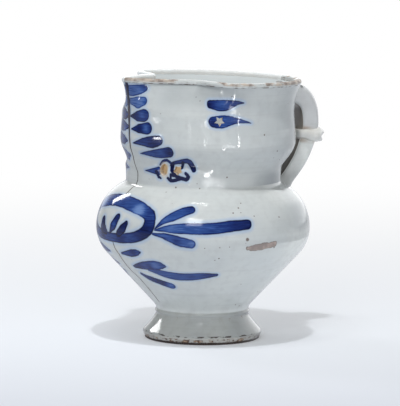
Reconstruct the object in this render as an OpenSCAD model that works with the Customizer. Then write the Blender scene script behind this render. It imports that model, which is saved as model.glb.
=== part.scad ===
// Pierced puzzle jug with a pinched beak, a hollow two-limb handle and a pedestal foot.
// Millimetres, +Z up. The origin is at the middle of the ring that it stands on,
// the beak points to -X and the handle to +X.

/* [Foot] */
// Height of the foot, from the table to the seam under the body
foot_h = 18; // [14:0.5:24]
// Radius of the foot at its widest edge
foot_r = 38.4; // [35:0.2:44]
// How far the foot's edge leans in where it stands
foot_undercut = 1.2; // [0.4:0.1:2.4]
// Height of the plain band along the foot's edge
foot_band_h = 5.2; // [3:0.2:7]
// Width of the ring that the foot stands on
foot_wall = 8; // [6:0.5:9]
// Height of the straight land at the top of the foot, under the seam
foot_land = 1.8; // [1.6:0.1:3]

/* [Body] */
// Radius of the waist, where foot and body meet
waist_r = 30.1; // [28:0.1:33]
// Height of the straight land at the bottom of the body, above the seam
waist_land = 3.2; // [2.4:0.1:5]
// Lean of the lower body's straight side from upright, in degrees
cone_angle = 43; // [36:1:48]
// Largest radius of the belly
belly_r = 69.2; // [64:0.2:76]
// Radius of the curve below the widest line
lower_arc_r = 24.2; // [18:0.2:30]
// Radius of the curve of the shoulder
shoulder_arc_r = 31.5; // [29:0.5:36]
// Thickness of the body's wall
body_wall = 5; // [4:0.25:6]
// Thickness of the floor
floor_t = 6; // [5:0.5:8]
// How far the belly seam lies below the widest line
seam_drop = 4.7; // [4:0.1:8]

/* [Neck] */
// Radius of the straight collar at the bottom of the neck
collar_r = 50; // [47:0.2:53]
// Height of the collar
collar_h = 11.3; // [9:0.1:14]
// Height of the cup, from the collar to the top of its wall
cup_h = 53.8; // [48:0.2:60]
// Radius of the cup's bulge
bulge_r = 59.5; // [57:0.1:62]
// Height of the bulge above the collar
bulge_h = 17; // [13:0.5:22]
// Radius of the cup's throat
throat_r = 58.4; // [56:0.1:61]
// Height of the throat above the collar
throat_h = 36; // [30:0.5:42]
// Radius of the round part of the mouth
mouth_r = 62; // [59:0.1:65]
// Thickness of the neck's wall at the collar
neck_wall = 4.2; // [3.6:0.1:5]
// Thickness of the neck's wall at the mouth
mouth_wall = 3.4; // [2.8:0.1:4]
// Width of the shoulder's edge that the neck sits on
neck_seat = 2; // [1.4:0.1:2.4]
// Height of the band along the mouth
lip_h = 3.2; // [2.4:0.1:5]
// How far the band stands out past the wall
lip_overhang = 0.7; // [0.3:0.1:1.2]
// How much higher the mouth is at the beak than at the handle
lip_rise = 2.8; // [0:0.2:5]

/* [Beak] */
// Angle from the beak at which the fold turns back, in degrees
valley_angle = 49; // [44:1:54]
// Angle from the beak at which the mouth is round again, in degrees
lobe_angle = 81; // [74:1:90]
// Half of the angle over which the front is flattened, in degrees
front_angle = 60; // [45:1:70]

/* [Piercing] */
// Radius of the star over its points
star_r = 3.4; // [2.4:0.1:4]
// Height of the star above the collar
star_up = 33; // [26:0.5:38]
// Angle of the star from the beak, in degrees
star_angle = 69; // [60:1:75]
// Width of the oval piercing
oval_w = 5.4; // [3:0.1:6]
// Height of the oval piercing
oval_h = 7.4; // [5:0.1:8]
// Height of the oval above the collar
oval_up = 0.7; // [0:0.1:4]
// Angle of the oval from the beak, in degrees
oval_angle = 29; // [25:1:31]
// Radius of the five-lobed piercing
flower_r = 2.9; // [2.4:0.1:3.4]
// Height of the five-lobed piercing above the collar
flower_up = 0.7; // [0:0.1:4]
// Angle of the five-lobed piercing from the beak, in degrees
flower_angle = 40; // [39:1:50]

/* [Handle] */
// Width of the handle across the jug
handle_w = 14.6; // [13:0.2:19]
// Thickness of the handle
handle_t = 14.4; // [12:0.2:16]
// Thickness of the handle where it lands on the shoulder
handle_foot_t = 11.4; // [10:0.2:13]
// How far the handle's middle line stands out from the neck
handle_reach = 19.4; // [15:0.2:24]
// Fall of the handle's arch from its top to its widest point
handle_drop = 21.2; // [19:0.2:26]
// Depth of the handle's top below the band along the mouth
handle_top_gap = 0.3; // [0.2:0.1:4]
// Angle past the widest point at which the two limbs meet, in degrees
joint_angle = 21; // [14:1:26]
// Gap between the fillet under the neck and the lower limb's foot
landing_gap = 1.1; // [0.6:0.1:3]
// Length over which the lower limb leaves each end straight
limb_lead = 18; // [11:0.5:20]
// Radius of the bore in the handle
bore_r = 2.6; // [2:0.1:3.4]
// Radius of the drinking hole at the top of the handle
drink_r = 1.3; // [0.9:0.1:1.8]
// Height of the strap round the joint
strap_h = 8.2; // [6:0.2:11]
// Thickness of the strap
strap_t = 2.8; // [2:0.1:3.6]
// How much higher the strap is on its outer side than on its inner side
strap_climb = 3.4; // [0:0.1:4]
// How far the strap's pinched ends stand out
nub_h = 3.4; // [1:0.1:4.5]

/* [Suction tube] */
// Outer radius of the tube
tube_r = 5; // [4:0.1:5.4]
// Distance of the tube's foot from the middle of the floor
tube_foot_r = 17; // [12:0.5:19]
// Radius of the arched inlets at the tube's foot
inlet_r = 2.2; // [1.4:0.1:2.6]

/* [Joints] */
// Height of the laps and spigots at the seams
lap_h = 3; // [2:0.1:3.6]
// Width of the flat seat at the belly seam
lap_w = 2.4; // [1.8:0.1:2.8]
// Room for slip between pieces that fit into each other
slip = 0.15; // [0.1:0.05:0.25]
// Room for slip inside the strap
strap_fit = 0.3; // [0.2:0.05:0.4]
// Height of the coil at the waist
coil_h = 3; // [2.4:0.1:3.2]
// How far the coil at the waist stands out
coil_bulge = 0.6; // [0.3:0.1:1.4]
// Size of the fillet between shoulder and neck
fillet = 2.2; // [1.2:0.1:2.4]

/* [Hidden] */

// Counts of straight steps along the curves
round_sides = 96;
arc_steps = 12;
cup_rows = 14;
limb_rings = 13;
limb_sides = 24;
strap_rings = 8;
pierce_sides = 20;
march_steps = 8;

// How far cuts run past what they cut
overrun = 1;

// Colours of the glaze, the worn lip, the greyer foot and the bare clay inside
glaze = [0.80, 0.84, 0.85];
handle_glaze = [0.76, 0.77, 0.75];
lip_glaze = [0.72, 0.67, 0.60];
foot_glaze = [0.68, 0.71, 0.71];
clay = [0.70, 0.58, 0.45];

// Foot
foot_base_r = foot_r - foot_undercut;
flare_h = foot_h - foot_land - foot_band_h;
flare_power = 1.3;
band_widest_share = 0.75;
spigot_share = 0.75;
spigot_r = waist_r * spigot_share;

// Body: the lower side rises from the waist and touches the curve below the widest line
lower_c = belly_r - lower_arc_r;
upper_c = belly_r - shoulder_arc_r;
cone_r = lower_c + lower_arc_r * cos(cone_angle);
waist_z = foot_h + waist_land;
cone_z = waist_z + (cone_r - waist_r) / tan(cone_angle);
belly_z = cone_z + lower_arc_r * sin(cone_angle);
floor_z = foot_h + floor_t;
top_angle = acos((collar_r - upper_c) / shoulder_arc_r);
joint_z = belly_z + shoulder_arc_r * sin(top_angle);
fillet_a = top_angle - fillet / shoulder_arc_r * 180 / PI;
opening_r = collar_r - neck_seat;

// Belly seam, with a tongue inside it
seam_a = asin(seam_drop / lower_arc_r);
seam_z = belly_z - seam_drop;
seam_r = lower_c + lower_arc_r * cos(seam_a);
tongue_r = seam_r - lap_w;
inner_lower_r = lower_arc_r - body_wall;
inner_upper_r = shoulder_arc_r - body_wall;
tongue_a = asin((seam_drop - lap_h) / inner_lower_r);
ledge_a = asin((seam_drop - lap_h - slip) / inner_lower_r);
opening_a = acos((opening_r - upper_c) / inner_upper_r);

// Neck
cup_z = joint_z + collar_h;
bulge_z = cup_z + bulge_h;
throat_z = cup_z + throat_h;
neck_top_z = cup_z + cup_h;

// Shape of the beak, as shares of the round cup and of its height
beak_slope_share = 2.2;
beak_round_share = 0.33;
low_pinch_share = 0.2;
mouth_pinch_share = 0.8;
low_pinch_shares = [-0.02, 0.09];
mouth_pinch_shares = [0.61, 1.09];
flat_share = 0.065;
flat_relief_share = 0.015;
flat_shares = [-0.02, 0.167];
flat_relief_shares = [0.5, 1.02];
normal_step = 0.5;

// Section of the lip band, as shares of its width and height
lip_shares = [
  [0.93, 0], [1, 0.3], [0.98, 0.65], [0.8, 0.92],
  [0.5, 1], [0.18, 0.85], [0, 0.45], [0, 0]
];

// Handle: the arch is a quarter of a full ellipse, and the lower limb a smooth curve to the shoulder
handle_top_z = neck_top_z - lip_rise / 2 - handle_top_gap - handle_t / 2;
arch_z = handle_top_z - handle_drop;
back_lean_share = 1 - throat_r * lip_rise / (2 * mouth_r * cup_h);
root_r = back_r(handle_top_z);
landing_angle = fillet_a - (landing_gap + handle_foot_t / 2) / shoulder_arc_r * 180 / PI;
landing = upper_pt(landing_angle, 0);
landing_dir = [cos(landing_angle), sin(landing_angle)];
arch_full_share = 0.08;
joint = arch_pt(-joint_angle);
joint_dir = arch_dir(-joint_angle);
outer_round = 0.8;
inner_round = 0.3;
drink_place = 62;
drink_lean = 50;

// Strap: edge thickness, width of the pinched ends, and the stretch of each limb that it covers
strap_edge_share = 0.55;
nub_sharpness = 14;
strap_turn = (strap_h / 2) / norm(arch_speed(-joint_angle)) * 180 / PI;
strap_step = (strap_h / 2) / (3 * limb_lead);

// Suction tube, from the floor to the lower limb
tube_foot = [tube_foot_r, floor_z];
tube_run = landing - tube_foot;
tube_len = norm(tube_run);
tube_lean = atan2(tube_run[0], tube_run[1]);
tube_skew = abs(90 - landing_angle - tube_lean);
tube_sag = tube_r * tube_r / (2 * shoulder_arc_r);
tube_top = tube_len - tube_r * tan(tube_skew) - tube_sag - slip;
tube_heel = tube_r * tan(tube_lean) + overrun;

// Five points of the star and lobes of the flower
star_points = 5;
star_inner_share = 0.5;
lobe_depth_share = 0.25;

function ramp(from, to, x) =
  let (t = max(0, min(1, (x - from) / (to - from)))) t * t * (3 - 2 * t);

// Points of the body's curves, inset from the outside by a wall
function lower_pt(a, inset) =
  [lower_c + (lower_arc_r - inset) * cos(a), belly_z - (lower_arc_r - inset) * sin(a)];
function upper_pt(a, inset) =
  [upper_c + (shoulder_arc_r - inset) * cos(a), belly_z + (shoulder_arc_r - inset) * sin(a)];
function lower_arc(from, to, inset) =
  [for (i = [0 : arc_steps]) lower_pt(from + (to - from) * i / arc_steps, inset)];
function upper_arc(from, to, inset) =
  [for (i = [0 : arc_steps]) upper_pt(from + (to - from) * i / arc_steps, inset)];
function without_first(points) = [for (i = [1 : len(points) - 1]) points[i]];

// Radius of the round cup at height z
function cup_r(z) =
  z <= cup_z ? collar_r
  : z <= bulge_z ? collar_r + (bulge_r - collar_r) * sin(90 * (z - cup_z) / bulge_h)
  : z <= throat_z
    ? bulge_r - (bulge_r - throat_r) * (1 - cos(180 * (z - bulge_z) / (throat_z - bulge_z))) / 2
  : throat_r + (mouth_r - throat_r) * pow((z - throat_z) / (neck_top_z - throat_z), 2);

// The beak's folds: angle a is counted from the beak
function beak_line(a) =
  1 / (cos(a) + beak_slope_share * (sqrt(pow(sin(a), 2) + pow(beak_round_share, 2)) - beak_round_share));
function valley(a) =
  abs(a) >= lobe_angle ? 0 : (1 - beak_line(abs(a))) * (1 - ramp(valley_angle, lobe_angle, abs(a)));
function front(a) = 1 - ramp(0, front_angle, abs(a));
function share_ramp(shares, z) = ramp(shares[0], shares[1], (z - cup_z) / cup_h);
function pinch(z) =
  low_pinch_share * share_ramp(low_pinch_shares, z) + mouth_pinch_share * share_ramp(mouth_pinch_shares, z);
function flatness(z) =
  flat_share * share_ramp(flat_shares, z) - flat_relief_share * share_ramp(flat_relief_shares, z);
function plan(a, z) =
  cup_r(z) * (1 - pinch(z) * valley(a) - flatness(z) * front(a)) * [-cos(a), -sin(a)];
function plan_normal(a, z) =
  let (along = plan(a + normal_step, z) - plan(a - normal_step, z)) [along[1], -along[0]] / norm(along);

// A point of the neck's wall: the mouth slopes down from the beak to the handle
function mouth_slope(x, z) = max(0, z - cup_z) / cup_h * (-x / mouth_r) * lip_rise / 2;
function wall_pt(a, z, out, up = 0) =
  let (p = plan(a, z) + plan_normal(a, z) * out) [p[0], p[1], z + mouth_slope(p[0], z) + up];
function wall_ring(z, out, up = 0) =
  [for (j = [0 : round_sides - 1]) wall_pt(j * 360 / round_sides - 180, z, out, up)];
function wall_at(z) = neck_wall + (mouth_wall - neck_wall) * max(0, z - cup_z) / cup_h;
function cup_row(i) = cup_z + cup_h * i / cup_rows;

// Radius of the back of the neck at height z, where the handle is
function back_r(z) = cup_r(cup_z + (z - cup_z) / back_lean_share);

// Middle line of the handle in the XZ plane, and its direction up the jug
function fullness(a) = 1 + (a > 0 ? arch_full_share * pow(sin(2 * a), 2) : 0);
function fullness_speed(a) = a > 0 ? 2 * arch_full_share * sin(4 * a) : 0;
function arch_pt(a) = [root_r, arch_z] + fullness(a) * [handle_reach * cos(a), handle_drop * sin(a)];
function arch_speed(a) =
  fullness(a) * [-handle_reach * sin(a), handle_drop * cos(a)]
  + fullness_speed(a) * [handle_reach * cos(a), handle_drop * sin(a)];
function arch_dir(a) = arch_speed(a) / norm(arch_speed(a));
function limb_control() =
  [landing, landing + landing_dir * limb_lead, joint - joint_dir * limb_lead, joint];
function limb_pt(t) =
  let (c = limb_control(), s = 1 - t)
  c[0] * s * s * s + c[1] * 3 * s * s * t + c[2] * 3 * s * t * t + c[3] * t * t * t;
function limb_dir(t) =
  let (c = limb_control(), s = 1 - t,
       v = (c[1] - c[0]) * s * s + (c[2] - c[1]) * 2 * s * t + (c[3] - c[2]) * t * t) v / norm(v);

// Section of the handle: rounded outside, flatter inside
function bend(v, power) = sign(v) * pow(abs(v), power);
function section_pt(turn, w, t) =
  let (power = cos(turn) > 0 ? outer_round : inner_round)
  [bend(cos(turn), power) * t / 2, bend(sin(turn), power) * w / 2];
function bore_pt(turn) = bore_r * [cos(turn), sin(turn)];
function placed(mid, dir, p) = [mid[0] + dir[1] * p[0], p[1], mid[1] - dir[0] * p[0]];
function turn_of(j) = 360 * j / limb_sides;
function section_ring(mid, dir, t) =
  [for (j = [0 : limb_sides - 1]) placed(mid, dir, section_pt(turn_of(j), handle_w, t))];
function bore_ring(mid, dir) =
  [for (j = [0 : limb_sides - 1]) placed(mid, dir, bore_pt(turn_of(j)))];

// The limb's ends follow the shoulder and the neck, with room for slip
function shoulder_gap(p) =
  norm([norm([p[0], p[1]]) - upper_c, p[2] - belly_z]) - shoulder_arc_r - slip;
function march(p, steps) =
  steps == 0 ? p
  : march(p - [landing_dir[0], 0, landing_dir[1]] * shoulder_gap(p), steps - 1);
function on_shoulder(ring) = [for (p = ring) march(p, march_steps)];
function on_neck(ring) =
  [for (p = ring) [sqrt(pow(back_r(p[2]) + slip, 2) - p[1] * p[1]), p[1], p[2]]];

// A closed solid from rings of points, up the outside and down the inside
module ring_solid(rings) {
  n = len(rings[0]);
  m = len(rings);
  polyhedron(
    points = [for (r = rings) each r],
    faces = [
      for (i = [0 : m - 1], j = [0 : n - 1])
        let (low = i * n, high = (i + 1) % m * n, k = (j + 1) % n)
        each [[low + j, high + j, high + k], [low + j, high + k, low + k]]
    ]
  );
}

module turned(points) {
  rotate_extrude($fn = round_sides) polygon(points);
}

module foot_ring() {
  flare = [
    for (i = [0 : arc_steps])
      [waist_r + (foot_r - waist_r) * pow(1 - i / arc_steps, flare_power),
       foot_band_h + flare_h * i / arc_steps]
  ];
  color(foot_glaze) turned([
    [foot_base_r - foot_wall, 0],
    [foot_base_r, 0],
    [foot_r, foot_band_h * band_widest_share],
    each flare,
    [waist_r, foot_h],
    [spigot_r + slip, foot_h],
    [spigot_r + slip, foot_h - lap_h - slip]
  ]);
}

module foot_coil() {
  bulge = [
    for (i = [0 : arc_steps])
      let (a = 180 * i / arc_steps - 90)
      [waist_r + coil_bulge * cos(a), foot_h + coil_h / 2 * sin(a)]
  ];
  color(foot_glaze) turned(bulge);
}

module lower_body() {
  inner_cone = lower_pt(cone_angle, body_wall);
  floor_r = inner_cone[0] - (inner_cone[1] - floor_z) * tan(cone_angle);
  color(glaze) turned([
    [0, foot_h - lap_h],
    [spigot_r, foot_h - lap_h],
    [spigot_r, foot_h],
    [waist_r, foot_h],
    [waist_r, waist_z],
    each lower_arc(cone_angle, seam_a, 0),
    [tongue_r - slip, seam_z],
    [tongue_r - slip, seam_z + lap_h],
    each lower_arc(tongue_a, cone_angle, body_wall),
    [floor_r, floor_z],
    [0, floor_z]
  ]);
}

// A round bar along the tube's axis, from a distance above its foot
module along_tube(r, from, to) {
  translate([tube_foot[0], 0, tube_foot[1]])
    rotate([0, tube_lean, 0])
      translate([0, 0, from])
        cylinder(r = r, h = to - from, $fn = round_sides);
}

module shoulder() {
  color(glaze) difference() {
    turned([
      each lower_arc(seam_a, 0, 0),
      each without_first(upper_arc(0, top_angle, 0)),
      [opening_r, joint_z],
      each upper_arc(opening_a, 0, body_wall),
      each without_first(lower_arc(0, ledge_a, body_wall)),
      [tongue_r, seam_z + lap_h + slip],
      [tongue_r, seam_z]
    ]);
    along_tube(tube_r + slip, tube_len - 2 * body_wall, tube_len + 2 * body_wall);
  }
}

// The fillet's hollow touches the shoulder's curve below and the collar above
module neck_coil() {
  low = upper_pt(fillet_a, 0);
  corner = [collar_r, low[1] + (low[0] - collar_r) / tan(fillet_a)];
  hollow = [
    for (i = [0 : arc_steps])
      let (t = i / arc_steps, s = 1 - t)
      low * s * s + corner * 2 * s * t + [collar_r, joint_z + fillet] * t * t
  ];
  color(glaze) turned([each without_first(hollow), each upper_arc(top_angle, fillet_a, 0)]);
}

// A prism that points outwards through the neck's wall at an angle from the beak
module pierce(a, up, points) {
  for (side = [-1, 1])
    translate([0, 0, cup_z + up])
      rotate([0, 0, 180 + side * a])
        translate([collar_r - 2 * neck_wall, 0, 0])
          rotate([0, 90, 0])
            linear_extrude(height = mouth_r - collar_r + 2 * neck_wall)
              polygon([for (p = points) [p[0], side * p[1]]]);
}

module neck() {
  spigot_in = -neck_seat - slip;
  star = [
    for (i = [0 : 2 * star_points - 1])
      let (t = 180 * i / star_points)
      star_r * (i % 2 == 0 ? 1 : star_inner_share) * [cos(t), sin(t)]
  ];
  oval = [
    for (i = [0 : pierce_sides - 1])
      [oval_h / 2 * cos(360 * i / pierce_sides), oval_w / 2 * sin(360 * i / pierce_sides)]
  ];
  flower = [
    for (i = [0 : 2 * pierce_sides - 1])
      let (t = 180 * i / pierce_sides)
      flower_r * (1 - lobe_depth_share * (1 - cos(star_points * t)) / 2) * [cos(t), sin(t)]
  ];
  color(glaze) difference() {
    ring_solid([
      wall_ring(joint_z - lap_h, spigot_in),
      wall_ring(joint_z, spigot_in),
      wall_ring(joint_z, 0),
      each [for (i = [0 : cup_rows]) wall_ring(cup_row(i), 0)],
      each [for (i = [cup_rows : -1 : 0]) wall_ring(cup_row(i), -wall_at(cup_row(i)))],
      wall_ring(joint_z - lap_h, -neck_wall)
    ]);
    pierce(star_angle, star_up, star);
    pierce(oval_angle, oval_up, oval);
    pierce(flower_angle, flower_up, flower);
  }
}

module lip_band() {
  color(lip_glaze) ring_solid([
    for (s = lip_shares)
      wall_ring(neck_top_z, s[0] * (mouth_wall + lip_overhang) - mouth_wall, s[1] * lip_h)
  ]);
}

module handle_lower() {
  steps = [for (i = [0 : limb_rings]) i / limb_rings];
  thickness = [for (t = steps) handle_foot_t + (handle_t - handle_foot_t) * t];
  outer = [for (i = [0 : limb_rings]) section_ring(limb_pt(steps[i]), limb_dir(steps[i]), thickness[i])];
  bore = [for (i = [limb_rings : -1 : 0]) bore_ring(limb_pt(steps[i]), limb_dir(steps[i]))];
  color(handle_glaze) ring_solid([
    on_shoulder(outer[0]),
    each without_first(outer),
    each [for (i = [0 : limb_rings - 1]) bore[i]],
    on_shoulder(bore[limb_rings])
  ]);
}

module handle_upper() {
  turns = [for (i = [0 : limb_rings]) -joint_angle + (90 + joint_angle) * i / limb_rings];
  outer = [for (a = turns) section_ring(arch_pt(a), arch_dir(a), handle_t)];
  bore = [for (i = [limb_rings : -1 : 0]) bore_ring(arch_pt(turns[i]), arch_dir(turns[i]))];
  hole = arch_pt(drink_place);
  hole_dir = arch_dir(drink_place);
  hole_turn = atan2(hole_dir[1], -hole_dir[0]);
  color(handle_glaze) difference() {
    ring_solid([
      each [for (i = [0 : limb_rings - 1]) outer[i]],
      on_neck(outer[limb_rings]),
      on_neck(bore[0]),
      each without_first(bore)
    ]);
    translate([hole[0], 0, hole[1]])
      rotate([0, hole_turn, 0])
        rotate([drink_lean, 0, 0])
          cylinder(r = drink_r, h = handle_w, $fn = round_sides);
  }
}

module handle_collar() {
  function strap_mid(s) = s >= 0 ? arch_pt(-joint_angle + s * strap_turn) : limb_pt(1 + s * strap_step);
  function strap_dir(s) = s >= 0 ? arch_dir(-joint_angle + s * strap_turn) : limb_dir(1 + s * strap_step);
  function nub(turn) = pow(max(0, cos(turn)), nub_sharpness);
  function strap_out(s, turn) =
    strap_t * (strap_edge_share + (1 - strap_edge_share) * (1 - s * s))
    + nub_h * nub(turn) * abs(sin(180 * s));
  function strap_ring(s, outside) = [
    for (j = [0 : limb_sides - 1])
      let (out = strap_fit + (outside ? strap_out(s, turn_of(j)) : 0),
           up = s + strap_climb / strap_h * cos(turn_of(j)))
      placed(strap_mid(up), strap_dir(up), section_pt(turn_of(j), handle_w + 2 * out, handle_t + 2 * out))
  ];
  steps = [for (i = [0 : strap_rings]) 2 * i / strap_rings - 1];
  color(handle_glaze) ring_solid([
    each [for (s = steps) strap_ring(s, true)],
    each [for (s = steps) strap_ring(-s, false)]
  ]);
}

module suction_tube() {
  color(clay) difference() {
    along_tube(tube_r, -tube_heel, tube_top);
    along_tube(bore_r, -tube_heel - overrun, tube_top + overrun);
    translate([tube_foot[0] - belly_r, -belly_r, floor_z - 2 * belly_r]) cube(2 * belly_r);
    translate([tube_foot[0], 0, floor_z])
      rotate([90, 0, 0])
        cylinder(r = inlet_r, h = 4 * tube_r, center = true, $fn = round_sides);
  }
}

foot_ring();
foot_coil();
lower_body();
shoulder();
neck_coil();
neck();
lip_band();
handle_lower();
handle_upper();
handle_collar();
suction_tube();
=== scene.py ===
import bpy
from math import acos, asin, atan2, cos, degrees, hypot, pi, radians, sin, sqrt, tan
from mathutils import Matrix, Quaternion, Vector


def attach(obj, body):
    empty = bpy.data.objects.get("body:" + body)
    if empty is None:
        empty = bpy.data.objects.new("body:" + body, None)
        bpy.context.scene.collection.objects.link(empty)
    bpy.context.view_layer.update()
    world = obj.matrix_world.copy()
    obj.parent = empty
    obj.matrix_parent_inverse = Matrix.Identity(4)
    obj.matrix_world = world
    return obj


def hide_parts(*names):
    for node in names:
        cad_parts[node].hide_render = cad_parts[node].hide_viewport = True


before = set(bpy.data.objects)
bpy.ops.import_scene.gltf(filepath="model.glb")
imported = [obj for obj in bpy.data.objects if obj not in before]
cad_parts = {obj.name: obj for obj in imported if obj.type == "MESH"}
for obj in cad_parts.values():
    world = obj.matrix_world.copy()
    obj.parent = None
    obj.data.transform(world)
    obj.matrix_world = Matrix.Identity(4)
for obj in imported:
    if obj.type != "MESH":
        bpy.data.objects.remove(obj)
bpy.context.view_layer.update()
mm = 0.001  # metres in a millimetre
toMm = 1 / mm
insideClimb = -9.0  # stored on the inside of a wall, so that it lies far from any stroke
print("frame loaded:", ", ".join(sorted(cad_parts)))


def ramp(low, high, x):
    t = max(0, min(1, (x - low) / (high - low)))
    return t * t * (3 - 2 * t)


def rgb(red, green, blue):  # a colour as it looks on screen, 0 to 255, as Blender's linear values
    parts = [v / 255 for v in (red, green, blue)]
    return [v / 12.92 if v <= 0.04045 else ((v + 0.055) / 1.055) ** 2.4 for v in parts] + [1]


# sizes shared with the solids, in millimetres and degrees
foot = {"height": 18, "radius": 38.4, "undercut": 1.2, "band": 5.2, "wall": 8, "land": 1.8,
        "flarePower": 1.3, "widest": 0.75, "spigot": 0.75, "recess": 3, "steps": 160}
body = {"waist": 30.1, "land": 3.2, "cone": 43, "belly": 69.2, "lowerArc": 24.2, "upperArc": 31.5,
        "wall": 5, "floor": 6, "seamDrop": 4.7, "tongue": 2.4, "lap": 3, "slip": 0.15, "steps": 192,
        "softBelow": 1.6, "softOut": 2.4}
neck = {"collar": 50, "collarHeight": 11.3, "height": 53.8, "bulge": 59.5, "bulgeUp": 17, "throat": 58.4,
        "throatUp": 36, "mouth": 62, "wall": 4.2, "mouthWall": 3.4, "rise": 2.8, "valley": 49, "lobe": 81,
        "front": 60, "crease": 2, "seat": 2, "fillet": 2.2, "filletSunk": 0.6, "steps": 288, "rows": 54}

lowerMid = body["belly"] - body["lowerArc"]
upperMid = body["belly"] - body["upperArc"]
coneR = lowerMid + body["lowerArc"] * cos(radians(body["cone"]))
waistZ = foot["height"] + body["land"]
coneZ = waistZ + (coneR - body["waist"]) / tan(radians(body["cone"]))
bellyZ = coneZ + body["lowerArc"] * sin(radians(body["cone"]))
floorZ = foot["height"] + body["floor"]
topAngle = acos((neck["collar"] - upperMid) / body["upperArc"])
jointZ = bellyZ + body["upperArc"] * sin(topAngle)
seamAngle = asin(body["seamDrop"] / body["lowerArc"])
seamZ = bellyZ - body["seamDrop"]
cupZ = jointZ + neck["collarHeight"]
neckTopZ = cupZ + neck["height"]


def lowerPoint(angle, inset):
    r = body["lowerArc"] - inset
    return lowerMid + r * cos(angle), bellyZ - r * sin(angle)


def upperPoint(angle, inset):
    r = body["upperArc"] - inset
    return upperMid + r * cos(angle), bellyZ + r * sin(angle)


def arc(point, start, end, inset, steps):
    return [point(start + (end - start) * i / steps, inset) for i in range(steps + 1)]


def line(start, end, steps):  # points between two ends, without the ends
    return [tuple(a + (b - a) * i / steps for a, b in zip(start, end)) for i in range(1, steps)]


def softTurn(start, corner, end, steps):  # a curve that rounds a corner
    shares = [i / steps for i in range(steps + 1)]
    return [tuple(a * (1 - t) ** 2 + b * 2 * t * (1 - t) + c * t * t for a, b, c in zip(start, corner, end))
            for t in shares]


def onlySelect(piece):
    bpy.ops.object.select_all(action="DESELECT")
    piece.select_set(True)
    bpy.context.view_layer.objects.active = piece


def editAll():
    bpy.ops.object.mode_set(mode="EDIT")
    bpy.ops.mesh.select_all(action="SELECT")


def endEdit():  # with all the normals outwards
    bpy.ops.mesh.select_all(action="SELECT")
    bpy.ops.mesh.normals_make_consistent(inside=False)
    bpy.ops.object.mode_set(mode="OBJECT")


def startPiece(name):
    piece = bpy.context.object
    piece.name = piece.data.name = name
    bpy.ops.object.transform_apply(location=True, rotation=True, scale=True)
    return piece


def turnPiece(name, outline, steps):  # an outline in the XZ plane, extruded point by point and spun round Z
    bpy.ops.object.select_all(action="DESELECT")
    bpy.ops.mesh.primitive_plane_add(size=mm)
    piece = startPiece(name)
    editAll()
    bpy.ops.mesh.merge(type="CENTER")
    bpy.ops.transform.translate(value=(outline[0][0] * mm, 0, outline[0][1] * mm))
    loop = outline + outline[:1]
    for (r0, z0), (r1, z1) in zip(loop, loop[1:]):
        step = ((r1 - r0) * mm, 0, (z1 - z0) * mm)
        bpy.ops.mesh.extrude_region_move(TRANSFORM_OT_translate={"value": step})
    bpy.ops.mesh.select_all(action="SELECT")
    bpy.ops.mesh.spin(steps=steps, angle=2 * pi, center=(0, 0, 0), axis=(0, 0, 1))
    bpy.ops.mesh.select_all(action="SELECT")
    bpy.ops.mesh.remove_doubles(threshold=0.00001)
    endEdit()
    return piece


def smooth(piece, angle=35):
    onlySelect(piece)
    bpy.ops.object.shade_smooth_by_angle(angle=radians(angle))


def cutAway(piece, cutters):  # all the cutters joined, then one Boolean
    onlySelect(cutters[0])
    for cutter in cutters:
        cutter.select_set(True)
    if len(cutters) > 1:
        bpy.ops.object.join()
    cutter = bpy.context.object
    onlySelect(piece)
    change = piece.modifiers.new("cut", "BOOLEAN")
    change.operation, change.solver, change.object = "DIFFERENCE", "EXACT", cutter
    bpy.ops.object.modifier_apply(modifier=change.name)
    bpy.data.objects.remove(cutter, do_unlink=True)
    editAll()
    bpy.ops.mesh.remove_doubles(threshold=0.000003)  # slivers that the cut leaves
    bpy.ops.mesh.dissolve_degenerate(threshold=0.000002)
    bpy.ops.object.mode_set(mode="OBJECT")


def finishPiece(piece, material, slot, *nodes):
    piece.data.materials.clear()
    piece.data.materials.append(material)
    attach(piece, "root")
    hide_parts(*nodes)
    print("piece done:", piece.name, len(piece.data.polygons), "faces")


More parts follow.
